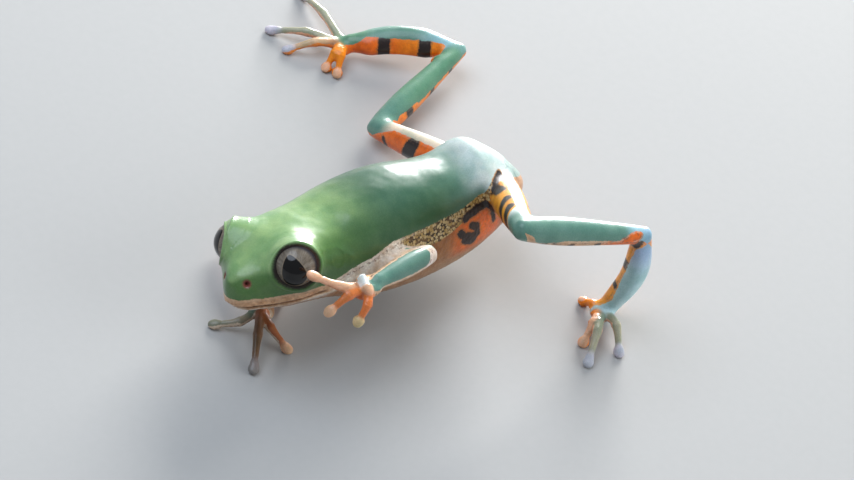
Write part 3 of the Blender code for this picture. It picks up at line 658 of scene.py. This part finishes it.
# markings on the trunk, forward and up, mirrored on both sides: the dark ones are a path and its half width
flank = {
    "speckleFloor": ((6.0, 9.5, 10.9, 12.0, 14.4, 16.5, 18.5, 20.5, 22.0),
                     (1.9, 1.2, 0.2, -0.2, -0.8, -0.7, 0.0, 0.6, 0.9)),
    "speckleReach": ((5.2, 6.4), (18.5, 21.5)),
    "darkPatch": (((10.2, 0.6), (9.4, 0.95), (8.0, 1.25), (6.6, 1.45), (5.7, 1.0)), 0.55),
    "hook": (((11.1, -0.95), (10.3, -1.9), (9.2, -2.6), (8.15, -2.1), (8.4, -1.0), (9.2, -0.65)), 0.48),
    "blot": (((10.0, -2.1), (9.0, -2.45)), 0.85),
    "rear": (((5.5, 2.9), (5.0, 3.4), (4.0, 3.8)), 0.48),
    "junction": (((6.4, 2.1), (6.1, 0.9), (5.7, -0.3), (5.3, -1.4)), 0.36),
    "groin": ((3.0, 5.0), (10.0, 13.5), (-5.0, -2.8)),
    "rearGap": 0.12, "least": 2,
}
# where the trunk's tones give way, in mm forward, up, or down from the green's border or the mouth
trunkFades = {
    "rumpEnd": (5, 15), "leafStart": (20, 31), "crown": (0.58, 0.98), "crownStart": (20, 30),
    "ridge": (3.2, 6.0), "ridgeStart": (2, 8), "ridgeEnd": (18, 26), "hipPaleAndGlare": (2.4, 4.4),
    "hipPaleAndGlareEnd": (6.5, 10.5), "belly": (-5.5, -2.0), "stripe": (1.4, 2.6), "stripeStart": (15, 18),
    "mouth": (0.1, 0.5), "lipsStart": (29.5, 31.5), "jawShade": (1.4, 2.4), "jawShadeStart": (30, 32),
    "rearEnd": (0.2, 2.6), "vent": (0.8, 1.9), "rearMark": (0.9, 1.6), "nostril": (0.34, 0.74),
    "speckle": (-0.2, 0.2), "grain": (-0.3, 0.3), "grainStart": (1, 4), "rearGrain": (-0.5, 0.5),
    "lineStart": (16, 19), "lineEnd": (29, 31), "jawLine": (31, 32),
}
trunkShares = {"blueLeaf": 0.45, "hipPaleAndGlare": 0.85, "jawShade": 0.35, "rearEnd": 0.7, "rearTop": 0.5, "line": 0.7,
               "jawLine": 0.3}


def tone(name):
    return np.array(tones[name])


def blendTones(value, low, high, first, second):
    t = eased(low, high, value)[:, None]
    return first * (1 - t) + second * t


def laidOver(base, weight, name, most=1.0):  # a tone over others, by its weight at each point
    return base * (1 - most * weight[:, None]) + most * tone(name) * weight[:, None]


def fadeIn(key, value):
    return eased(*trunkFades[key], value)


def fadeOut(key, value):
    return 1 - eased(*trunkFades[key], value)


def paintTrunk(f, l, u):
    n = len(f)
    place, flat = np.stack((f, np.abs(l), u), 1), np.stack((f, u), 1)
    green = u - np.interp(f, *greenBorder)
    underMouth = body["mouthHeight"] - u
    top = blendTones(f, *trunkFades["rumpEnd"], tone("rump"), tone("deepLeaf"))
    top = blendTones(f, *trunkFades["leafStart"], top, tone("leaf"))
    bodyTop = np.interp(f, *np.array(body["sections"])[:, (0, 2)].T)
    top = laidOver(top, fadeIn("crown", u / bodyTop) * fadeIn("crownStart", f), "crown")
    ridge = fadeIn("ridge", u) * fadeOut("ridgeEnd", f) * fadeIn("ridgeStart", f)
    top = laidOver(top, ridge, "blueLeaf", trunkShares["blueLeaf"])
    # the hips laid pale: partly paler skin, partly a painted highlight standing in for the glare on the rump
    top = laidOver(top, trunkShares["hipPaleAndGlare"] * fadeIn("hipPaleAndGlare", u) * fadeOut("hipPaleAndGlareEnd", f), "paleAndGlare")
    under = blendTones(u, *trunkFades["belly"], tone("chest"), tone("belly"))
    under = laidOver(under, fadeOut("stripe", -green) * fadeIn("stripeStart", f), "chalk")
    under = laidOver(under, fadeIn("lipsStart", f) * fadeOut("mouth", underMouth), "tan")
    # painted shade: the lower jaw under the mouth laid partly brown
    jawShade = fadeIn("jawShadeStart", f) * fadeIn("mouth", underMouth) * fadeOut("jawShade", underMouth)
    under = laidOver(under, jawShade, "brown", trunkShares["jawShade"])
    (a, b), (c, d), (e, g) = flank["groin"]
    under = laidOver(under, eased(a, b, f) * (1 - eased(c, d, f)) * eased(e, g, u), "groin")
    ventAway = awayFrom(place, "vent")
    rearEnd = np.maximum(trunkShares["rearEnd"] * fadeOut("rearEnd", f), fadeOut("vent", ventAway))
    rearEnd = np.maximum(rearEnd, fadeOut("rearMark", pathDistance(flat, flank["rear"][0])))
    under = laidOver(under, rearEnd, "tan")
    top = laidOver(top, rearEnd, "paleAndGlare", trunkShares["rearTop"])
    # painted shade: the nostril's opening laid dark red
    spot = awayFrom(place, "nostril")
    top = laidOver(top, fadeOut("nostril", spot), "nostril")
    black = np.full(n, -farOff)
    for key in ("darkPatch", "hook", "blot", "rear", "junction"):
        path, wide = flank[key]
        near = pathDistance(flat, path) + farOff * (np.abs(l) < flank["least"])
        black = np.maximum(black, wide - near)
        if key == "rear":
            green = np.minimum(green, near - wide - flank["rearGap"])
    low, high = flank["speckleReach"]
    speckle = fadeIn("speckle", u - np.interp(f, *flank["speckleFloor"]))
    speckle = speckle * eased(*low, f) * (1 - eased(*high, f))
    grain = fadeOut("grain", green) * fadeIn("grainStart", f)
    grain = np.maximum(grain, rearEnd * fadeOut("rearGrain", green))
    line = trunkShares["line"] * fadeIn("lineStart", f) * fadeOut("lineEnd", f)
    line = line + trunkShares["jawLine"] * fadeIn("jawLine", f)
    return green, black, line, speckle, grain, top, under


# shares along a limb over which its stripe's tones give way, and how granular its skin is
limbPaint = {"rootTone": (0.05, 0.45), "tipTone": (0.78, 0.92), "grain": 0.25}


def paintLimb(name, share, turn):
    joints, wide, rows, stripe, below, line = limbs[name]
    middle, half = (np.interp(share, *np.array(rows, float)[:, (0, k)].T) for k in (1, 2))
    length = sum(np.linalg.norm(np.subtract(b, a)) for a, b in zip(joints, joints[1:]))
    away = np.abs(swing(turn, middle))
    scale = math.radians(1) * wide
    green = (half - away) * scale
    top = blendTones(share, *limbPaint["rootTone"], tone(stripe[0]), tone(stripe[1]))
    top = blendTones(share, *limbPaint["tipTone"], top, tone(stripe[2]))
    first, last, start, end = (below, below, 0, 1) if isinstance(below, str) else below
    under = blendTones(share, start, end, tone(first), tone(last))
    n = len(share)
    black = np.full(n, -farOff)

    def markDistance(first, last):
        reference = (first[1] + last[1]) / 2
        flat = np.stack((share * length, swing(turn, reference) * scale), 1)
        ends = [(t * length, (angle - reference) * scale) for t, angle in (first, last)]
        return pathDistance(flat, ends)

    for first, last, halfWide in bars.get(name, ()):
        black = np.maximum(black, halfWide - markDistance(first, last))
    for first, last, halfWide in greenGaps.get(name, ()):
        green = np.minimum(green, markDistance(first, last) - halfWide)
    return green, black, np.full(n, line), np.zeros(n), np.full(n, limbPaint["grain"]), top, under


# where limbs and trunk meet: how much a digit gives way, how far their paints overlap and how fast they fade
meeting = {"digitYield": 0.15, "overlap": 0.6, "sharpness": 9}


def paintSkin():
    mesh, p = skin.data, skinPlaces
    n = len(p)
    f, l, u, out = trunkReading(p)
    readings = {name: limbReading(p, row[0]) for name, row in limbs.items()}
    measures = {"trunk": out}
    for name, (_, dist, _) in readings.items():
        measures[name] = dist / limbs[name][1] + (0 if name in bones else meeting["digitYield"])
    lowest = np.min(list(measures.values()), axis=0)
    total, fields = np.zeros(n), None
    for name, measure in measures.items():
        on = np.nonzero(measure < lowest + meeting["overlap"])[0]
        weight = np.exp(-meeting["sharpness"] * (measure[on] - lowest[on]))
        if name == "trunk":
            rows = paintTrunk(f[on], l[on], u[on])
        else:
            share, _, turn = readings[name]
            rows = paintLimb(name, share[on], turn[on])
        rows = np.column_stack(rows)
        if fields is None:
            fields = np.zeros((n, rows.shape[1]))
        fields[on] += rows * weight[:, None]
        total[on] += weight
    fields /= total[:, None]
    rim = np.zeros(n)
    for side in (1, -1):
        _, _, reach, angle = lidReading(p, side)
        rim = np.maximum(rim, (1 - eased(*lidForm["rim"], angle)) * (reach < lidForm["rimReach"]))
        lid = (reach < lidForm["greenReach"]) & (angle < lidForm["greenAngle"])
        fields[:, 0] = np.where(lid, np.maximum(fields[:, 0], 1.0), fields[:, 0])
    # a dark line along the mouth's slit: painted shade
    (lineWide, slitShade), (before, after) = mouthForm["line"], mouthForm["lineStart"]
    slit = bell(u, body["mouthHeight"], lineWide) * (out < trunkReach["mouth"])
    slit *= eased(body["mouthCorner"] - before, body["mouthCorner"] + after, f)
    rim = np.maximum(rim, slitShade * slit)
    for k, key in enumerate(("greenEdge", "blackEdge", "paleLine", "speckle", "grain")):
        storeValues(mesh, key, fields[:, k])
    storeValues(mesh, "rim", rim)
    for k, key in ((5, "topTone"), (8, "underTone")):
        storeValues(mesh, key, np.column_stack((fields[:, k:k + 3], np.ones(n))), "FLOAT_COLOR", "color")


paintSkin()
print("markings laid")


# materials
def nodeAdder(material):
    tree = material.node_tree

    def add(kind, inputs=(), **settings):
        node = tree.nodes.new("ShaderNode" + kind)
        for key, value in settings.items():
            setattr(node, key, value)
        for key, value in dict(inputs).items():
            if isinstance(value, bpy.types.NodeSocket):
                tree.links.new(value, node.inputs[key])
            else:
                node.inputs[key].default_value = value
        return node
    return add


def newMaterial(name, finish):
    material = bpy.data.materials.new(name)
    material.use_nodes = True
    shader = material.node_tree.nodes["Principled BSDF"]
    for key, value in finish.items():
        shader.inputs[key].default_value = value
    return material, nodeAdder(material), shader


def connect(shader, outputs):
    for key, output in outputs.items():
        shader.id_data.links.new(output, shader.inputs[key])


def mixTone(add, factor, first, second, blend="MIX"):
    node = add("Mix", {0: factor, 6: first, 7: second}, data_type="RGBA", blend_type=blend)
    return node.outputs[2]


def ramp(add, value, low, high, fromLow=0.0, toHigh=1.0):
    inputs = {0: value, 1: low, 2: high, 3: fromLow, 4: toHigh}
    return add("MapRange", inputs, interpolation_type="SMOOTHSTEP").outputs[0]


def sums(add, operation, first, second, third=0.0):
    return add("Math", {0: first, 1: second, 2: third}, operation=operation).outputs[0]


def noiseAt(add, place, scale, detail=2.0, roughness=0.5):
    node = add("TexNoise", {"Vector": place, "Scale": scale, "Detail": detail, "Roughness": roughness})
    return node.outputs["Fac"]


def cellsAt(add, place, scale):
    return add("TexVoronoi", {"Vector": place, "Scale": scale}, feature="F1")


def colour(name):
    return (*tones[name], 1)


# the skin's look; a ramp runs from its first number to its second, and may then name its value at each
skinLook = {
    # scale in rounds per mm and detail of each noise, and the scale of each pattern of cells
    "noises": {"wide": (1.1, 4), "fine": (7.0, 3), "broad": (0.35, 3), "grit": (14.0, 2), "breaks": (2.2, 3),
               "dots": (3.2, 1)},
    "cells": 2.9, "tinyCells": 6.5,
    # how far fine and wide noise move the edges of green and black, in mm
    "greenWave": (0.34, 0.36), "blackWave": (0.5, 0.4),
    # mottling: which noise, where it starts and is full, how strong, and the tint that multiplies the skin's
    "upperMottle": (("broad", 0.35, 0.68, 1.0, (0.70, 0.82, 0.80, 1)),
                    ("wide", 0.42, 0.72, 0.4, (1.16, 1.12, 1.05, 1)),
                    ("fine", 0.30, 0.75, 0.5, (0.62, 0.70, 0.66, 1))),
    "lowerMottle": (("wide", 0.35, 0.70, 1.0, (0.78, 0.68, 0.58, 1)),
                    ("fine", 0.35, 0.75, 0.5, (0.80, 0.72, 0.64, 1))),
    # from none to all, in mm from the edge of green or black, inside above 0
    "upper": (-0.05, 0.06), "black": (-0.06, 0.06), "halo": (-0.34, 0.0), "haloShare": 0.6,
    "paleLine": (-0.40, -0.22, 0.0, 0.75), "dotsOuter": (-0.72, -0.55), "dotsInner": (-0.24, -0.36),
    "paintedGlints": (0.0, 0.20, 0.22, 0.0), "pores": (0.30, 0.60), "poreShare": 0.22,
    "flakes": (0.88, 0.70), "flakeWave": 0.45, "golds": (0.3, 0.8), "webs": (0.4, 0.65),
    "patches": (0.70, 0.98), "patchWave": 0.9,
    "lineBreaks": (0.40, 0.58, 0.25, 1.0), "lineDots": (0.47, 0.53),
    "domes": (0.0, 0.6, 1.0, 0.0), "domeHeight": (0.9, 0.10), "fineHeight": 0.35, "gritHeight": 0.22,
    # even, and more by fine noise and by grain
    "roughness": (0.26, 0.20, 0.16),
    "bump": {"Strength": 0.50, "Distance": 0.00004},
    "finish": {"Specular IOR Level": 0.25, "Coat Weight": 0.40, "Coat Roughness": 0.17, "Sheen Weight": 0.04,
               "Sheen Roughness": 0.35, "Sheen Tint": (0.82, 0.88, 1.0, 1), "Subsurface Weight": 0.08,
               "Subsurface Radius": (1.0, 0.5, 0.25), "Subsurface Scale": 0.0006},
}


def skinMaterial():
    material, add, shader = newMaterial("frogSkin", skinLook["finish"])
    metres = add("TexCoord").outputs["Object"]
    place = add("VectorMath", {0: metres, "Scale": 1 / mm}, operation="SCALE").outputs[0]
    noises = {key: noiseAt(add, place, *row) for key, row in skinLook["noises"].items()}
    wide, fine = noises["wide"], noises["fine"]
    cells, tiny = cellsAt(add, place, skinLook["cells"]), cellsAt(add, place, skinLook["tinyCells"])

    def field(key, output="Fac"):
        return add("Attribute", attribute_name=key).outputs[output]

    def times(first, second):
        return sums(add, "MULTIPLY", first, second)

    def scaled(value, factor, added):
        return sums(add, "MULTIPLY_ADD", value, factor, added)

    def ramped(value, key):
        return ramp(add, value, *skinLook[key])

    def wavy(key, waves):
        value = field(key)
        for fac, wave in zip((fine, wide), waves):
            value = sums(add, "ADD", value, scaled(fac, wave, -wave / 2))
        return value

    def mottled(base, rows):
        for key, low, high, most, tint in rows:
            base = mixTone(add, ramp(add, noises[key], low, high, 0.0, most), base, tint, "MULTIPLY")
        return base

    green, black = wavy("greenEdge", skinLook["greenWave"]), wavy("blackEdge", skinLook["blackWave"])
    # upper skin: mottled, with tiny pale points that are painted glints
    top = mottled(field("topTone", "Color"), skinLook["upperMottle"])
    top = mixTone(add, ramped(tiny.outputs["Distance"], "paintedGlints"), top, colour("paleAndGlare"))
    # lower skin: mottled, with darker pores and a band speckled gold and dark brown
    under = mottled(field("underTone", "Color"), skinLook["lowerMottle"])
    pores = times(ramped(cells.outputs["Distance"], "pores"), field("grain"))
    under = mixTone(add, times(pores, skinLook["poreShare"]), under, colour("brown"))
    flakes = ramped(scaled(fine, skinLook["flakeWave"], cells.outputs["Distance"]), "flakes")
    gold = mixTone(add, ramped(cells.outputs["Color"], "golds"), colour("dullGold"), colour("gold"))
    webs = mixTone(add, ramped(wide, "webs"), colour("darkWeb"), colour("brownWeb"))
    patches = ramped(scaled(wide, skinLook["patchWave"], field("speckle")), "patches")
    under = mixTone(add, patches, under, mixTone(add, flakes, webs, gold))
    # black marks, each in a brown halo
    under = mixTone(add, times(ramped(black, "halo"), skinLook["haloShare"]), under, colour("halo"))
    under = mixTone(add, ramped(black, "black"), under, colour("black"))
    # broken pale line along the green, with dark dots beyond it
    line = times(field("paleLine"), ramped(noises["breaks"], "lineBreaks"))
    dots = times(ramped(green, "dotsOuter"), ramped(green, "dotsInner"))
    dots = times(dots, times(ramped(noises["dots"], "lineDots"), line))
    under = mixTone(add, times(ramped(green, "paleLine"), line), under, colour("cream"))
    under = mixTone(add, dots, under, colour("brown"))
    skinTone = mixTone(add, ramped(green, "upper"), under, top)
    # the rim carries the eyelids' dark edge, and along the mouth the painted shade of its slit
    skinTone = mixTone(add, field("rim"), skinTone, colour("black"))
    even, finePart, grainPart = skinLook["roughness"]
    rough = scaled(field("grain"), grainPart, scaled(fine, finePart, even))
    # fine grain
    domes = ramped(tiny.outputs["Distance"], "domes")
    rise = times(domes, scaled(field("grain"), *skinLook["domeHeight"]))
    rise = scaled(fine, skinLook["fineHeight"], rise)
    rise = scaled(noises["grit"], skinLook["gritHeight"], rise)
    bump = add("Bump", {**skinLook["bump"], "Height": rise})
    connect(shader, {"Base Color": skinTone, "Roughness": rough, "Normal": bump.outputs[0]})
    return material


skin.data.materials.append(skinMaterial())
skin.data.shade_smooth()
setPlaces(skin.data, skinPlaces * mm)
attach(skin, "root")
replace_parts(skin, *flesh)
print("skin finished")

# eyes: the left pupil's axis and its upper end, given right, up and back from the camera
eyeForm = {"pupilLook": (-0.14, -0.84, 2.45), "pupilUp": (-0.25, 0.97, 0.0), "pupil": (1.30, 1.84),
           "pointed": 0.32, "cornea": (0.09, 30.0), "rayDepth": 0.22, "segments": 144, "rings": 96}
irisLook = {
    "rays": (5.0, 6, 0.75), "veins": (13.0, 3, 0.6),
    "ground": ((0.105, 0.083, 0.060, 1), (0.225, 0.195, 0.158, 1)), "groundRamp": (0.32, 0.68),
    # tones over the ground, with their ramps
    "vein": (0.100, 0.065, 0.045, 1), "veinRamp": (0.54, 0.66, 0.0, 0.5),
    "pupilRing": (0.300, 0.220, 0.140, 1), "pupilRingRamp": (-0.16, -0.03, 0.0, 0.35),
    # a dark ring at the iris's edge: painted shade from the lids
    "lidShade": (0.040, 0.035, 0.040, 1), "lidShadeRamp": (2.22, 2.50),
    "pupil": (0.006, 0.005, 0.005, 1), "pupilRamp": (-0.03, 0.02), "pupilWave": 0.05,
    "roughness": (0.34, 0.10), "bump": {"Strength": 0.25, "Distance": 0.00003},
    "finish": {"Specular IOR Level": 0.2, "Coat Weight": 0.6, "Coat Roughness": 0.05, "Coat IOR": 1.40},
}


def eyeMaterial():
    material, add, shader = newMaterial("frogEye", irisLook["finish"])
    pupil = add("Attribute", attribute_name="pupil").outputs["Fac"]
    reach = add("Attribute", attribute_name="irisReach").outputs["Fac"]
    around = add("Attribute", attribute_name="irisAround").outputs["Vector"]
    rays, veins = (noiseAt(add, around, *irisLook[key]) for key in ("rays", "veins"))
    iris = mixTone(add, ramp(add, rays, *irisLook["groundRamp"]), *irisLook["ground"])
    for key, value in (("vein", veins), ("pupilRing", pupil), ("lidShade", reach)):
        iris = mixTone(add, ramp(add, value, *irisLook[key + "Ramp"]), iris, irisLook[key])
    wave = irisLook["pupilWave"]
    edge = sums(add, "ADD", pupil, sums(add, "MULTIPLY_ADD", rays, wave, -wave / 2))
    whole = mixTone(add, ramp(add, edge, *irisLook["pupilRamp"]), iris, irisLook["pupil"])
    rough = ramp(add, edge, *irisLook["pupilRamp"], *irisLook["roughness"])
    bump = add("Bump", {**irisLook["bump"], "Height": rays})
    connect(shader, {"Base Color": whole, "Roughness": rough, "Normal": bump.outputs[0]})
    return material


def makeEye(name, side, material):
    look = unit(sum(c * axis for c, axis in zip(eyeForm["pupilLook"], view)))
    lift = sum(c * axis for c, axis in zip(eyeForm["pupilUp"], view))
    if side < 0:  # mirrored through the head's own middle plane
        leftWay = turnAt(body["eye"][0])[1]
        look, lift = (v - 2 * (v @ leftWay) * leftWay for v in (look, lift))
    lift = unit(lift - (lift @ look) * look)
    across = np.cross(lift, look)
    bm = bmesh.new()
    bmesh.ops.create_uvsphere(bm, u_segments=eyeForm["segments"], v_segments=eyeForm["rings"], radius=1)
    mesh = meshFrom(bm, name)
    local, _ = meshArrays(mesh)
    angle = np.degrees(np.arccos(np.clip(local[:, 2], -1, 1)))
    height, width = eyeForm["cornea"]
    radius = body["eyeRadius"] + height * bell(angle, 0, width)
    flat = local * body["eyeRadius"]
    halfWide, halfTall = eyeForm["pupil"]
    narrow = halfWide * (1 - eyeForm["pointed"] * flat[:, 1] / halfTall)
    pupil = np.where(local[:, 2] > 0, 1 - np.hypot(flat[:, 0] / narrow, flat[:, 1] / halfTall), -1)
    reach = np.hypot(flat[:, 0], flat[:, 1]) + farOff * (local[:, 2] < 0)
    around = np.column_stack((unit(flat[:, :2] + 1e-9), reach * eyeForm["rayDepth"]))
    storeValues(mesh, "pupil", pupil)
    storeValues(mesh, "irisReach", reach)
    storeValues(mesh, "irisAround", around, "FLOAT_VECTOR", "vector")
    places = (local * radius[:, None]) @ np.array((across, lift, look)) + fromBody(body["eye"], side)
    setPlaces(mesh, places * mm)
    mesh.shade_smooth()
    mesh.materials.append(material)
    eye = addObject(name, mesh)
    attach(eye, "root")
    return eye


frogEye = eyeMaterial()
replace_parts(makeEye("leftEyeball", 1, frogEye), "left_eye")
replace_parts(makeEye("rightEyeball", -1, frogEye), "right_eye")
print("eyes set")

# pale floor
floorSet = {"size": 1.6, "colours": ((0.40, 0.395, 0.385, 1), (0.33, 0.33, 0.32, 1)),
            "mottle": (0.3, 0.7, 0.0, 0.10), "noise": (900.0, 3), "finish": {"Roughness": 0.8}}


def makeFloor():
    material, add, shader = newMaterial("paleFloor", floorSet["finish"])
    grain = noiseAt(add, add("TexCoord").outputs["Object"], *floorSet["noise"])
    shade = mixTone(add, ramp(add, grain, *floorSet["mottle"]), *floorSet["colours"])
    connect(shader, {"Base Color": shade})
    bm = bmesh.new()
    bmesh.ops.create_grid(bm, x_segments=4, y_segments=4, size=floorSet["size"] / 2)
    mesh = meshFrom(bm, "floor")
    mesh.materials.append(material)
    floor = addObject("floor", mesh)


makeFloor()
print("floor laid")

lightAim = (20, 0, 0)  # the middle of the body
lights = {  # heading from the frog's front and rise in degrees, distance and width in m, watts, tint
    "backLight": ((-145, 21), 0.60, 0.38, 6.8, (1.0, 0.985, 0.95)),
    "skyLight": ((-50, 66), 0.55, 0.50, 2.5, (0.78, 0.87, 1.0)),
    "sideLight": ((134, 20), 0.60, 0.45, 2.2, (0.90, 0.96, 1.0)),
    "glossLight": ((-138, 3), 0.60, 0.20, 15.0, (1.0, 1.0, 1.0)),
}
for name, (aim, distance, width, watts, tint) in lights.items():
    data = bpy.data.lights.new(name, "AREA")
    data.shape = "DISK"
    data.size = width
    data.energy = watts
    data.color = tint
    light = addObject(name, data)
    light.visible_diffuse = name != "glossLight"  # which only puts a wet line on the edges
    light.visible_glossy = name not in ("sideLight", "backLight")
    light.location = Vector(direction(*aim) * distance) + Vector(fromBody(lightAim)) * mm
    light.rotation_euler = Vector(direction(*aim)).to_track_quat("Z", "Y").to_euler()
worldSet = {"Color": (0.85, 0.92, 1.0, 1), "Strength": 0.28}
world = bpy.data.worlds.new("studio")
world.use_nodes = True
for key, value in worldSet.items():
    world.node_tree.nodes["Background"].inputs[key].default_value = value
bpy.context.scene.world = world
bpy.context.scene.view_settings.view_transform = "Standard"
print("lights set")
